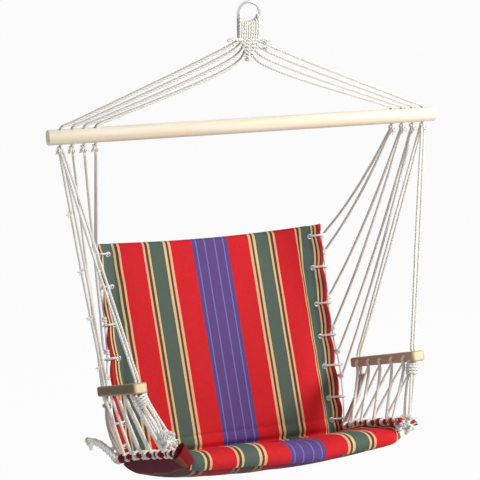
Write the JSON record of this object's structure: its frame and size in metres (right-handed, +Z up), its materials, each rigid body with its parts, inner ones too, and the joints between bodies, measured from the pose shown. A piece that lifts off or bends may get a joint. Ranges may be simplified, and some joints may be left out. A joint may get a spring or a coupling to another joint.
{
  "type": "hammock chair",
  "caption": "Hanging porch chair: padded striped canvas seat and back, laced to cotton ropes that fan from a steel ring over a wooden spreader bar, with roped wooden armrests.",
  "frame": {"origin": "inside top of the steel ring, where a hook carries the chair", "axes": "+Z up; X along the spreader bar; the sitter faces -Y"},
  "size_m": [0.95, 0.5798, 1.125],
  "materials": {
    "steel": "polished wire",
    "rope": "twisted natural cotton",
    "bar_wood": "pale, smooth, unvarnished",
    "arm_wood": "oiled, planed",
    "canvas": "woven cotton canvas with lengthwise stripes"
  },
  "bodies": {
    "hook_ring": {"hanging_ring": "steel", "ring_loops": "rope"},
    "neck": {"neck_bundle": "rope"},
    "spreader": {"neck_braid": "rope", "spreader_bar": "bar_wood", "left_bridle_1": "rope", "left_bridle_2": "rope", "left_bridle_3": "rope", "left_bridle_4": "rope", "right_bridle_1": "rope", "right_bridle_2": "rope", "right_bridle_3": "rope", "right_bridle_4": "rope"},
    "chair": {"seat_cushion": "canvas", "left_seat_edge_rope": "rope", "right_seat_edge_rope": "rope", "left_front_corner_knot": "rope", "right_front_corner_knot": "rope", "left_rope_tail": "rope", "left_back_rope_1": "rope", "left_back_rope_2": "rope", "left_back_rope_3": "rope", "left_back_rope_4": "rope", "left_back_rope_5": "rope", "left_back_rope_6": "rope", "right_back_rope_1": "rope", "right_back_rope_2": "rope", "right_back_rope_3": "rope", "right_back_rope_4": "rope", "right_back_rope_5": "rope", "right_back_rope_6": "rope", "left_rear_arm_rope": "rope", "left_front_arm_rope": "rope", "right_rear_arm_rope": "rope", "right_front_arm_rope": "rope"},
    "back": {"back_cushion": "canvas", "left_back_lacing": "rope", "right_back_lacing": "rope"},
    "left_arm": {"left_armrest": "arm_wood", "left_net_rope_1": "rope", "left_net_rope_2": "rope", "left_net_rope_3": "rope", "left_net_rope_4": "rope", "left_net_rope_5": "rope", "left_rear_arm_tie": "rope", "left_front_arm_tie": "rope"},
    "right_arm": {"right_armrest": "arm_wood", "right_net_rope_1": "rope", "right_net_rope_2": "rope", "right_net_rope_3": "rope", "right_net_rope_4": "rope", "right_net_rope_5": "rope", "right_rear_arm_tie": "rope", "right_front_arm_tie": "rope"}
  },
  "joints": [
    {"name": "fore_aft_swing", "type": "hinge", "parent": "hook_ring", "child": "neck", "pos_m": [0, 0, -0.048], "axis": [1, 0, 0], "range_deg": [-25, 25], "deforming": ["ring_loops"]},
    {"name": "neck_twist", "type": "hinge", "parent": "neck", "child": "spreader", "pos_m": [0, 0, -0.0782], "axis": [0, 0, 1], "range_deg": [-75, 75], "stiffness_Nm_per_rad": 0.4},
    {"name": "chair_swing", "type": "hinge", "parent": "spreader", "child": "chair", "pos_m": [0, 0, -0.3058], "axis": [1, 0, 0], "range_deg": [-15, 15]},
    {"name": "back_recline", "type": "hinge", "parent": "chair", "child": "back", "pos_m": [0, 0.113, -1.1056], "axis": [-1, 0, 0], "range_deg": [-8, 12], "stiffness_Nm_per_rad": 60, "deforming": ["left_back_rope_1", "left_back_rope_2", "left_back_rope_3", "left_back_rope_4", "left_back_rope_5", "left_back_rope_6", "right_back_rope_1", "right_back_rope_2", "right_back_rope_3", "right_back_rope_4", "right_back_rope_5", "right_back_rope_6"]},
    {"name": "left_armrest_lean", "type": "hinge", "parent": "chair", "child": "left_arm", "pos_m": [-0.2889, 0.0955, -1.1034], "axis": [-0.066, 0.9352, -0.3478], "range_deg": [-12, 10], "stiffness_Nm_per_rad": 12, "deforming": ["left_rear_arm_rope", "left_front_arm_rope", "left_rear_arm_tie", "left_front_arm_tie"]},
    {"name": "right_armrest_lean", "type": "hinge", "parent": "chair", "child": "right_arm", "pos_m": [0.2889, 0.0955, -1.1034], "axis": [-0.066, -0.9352, 0.3478], "range_deg": [-12, 10], "stiffness_Nm_per_rad": 12, "deforming": ["right_rear_arm_rope", "right_front_arm_rope", "right_rear_arm_tie", "right_front_arm_tie"]}
  ]
}
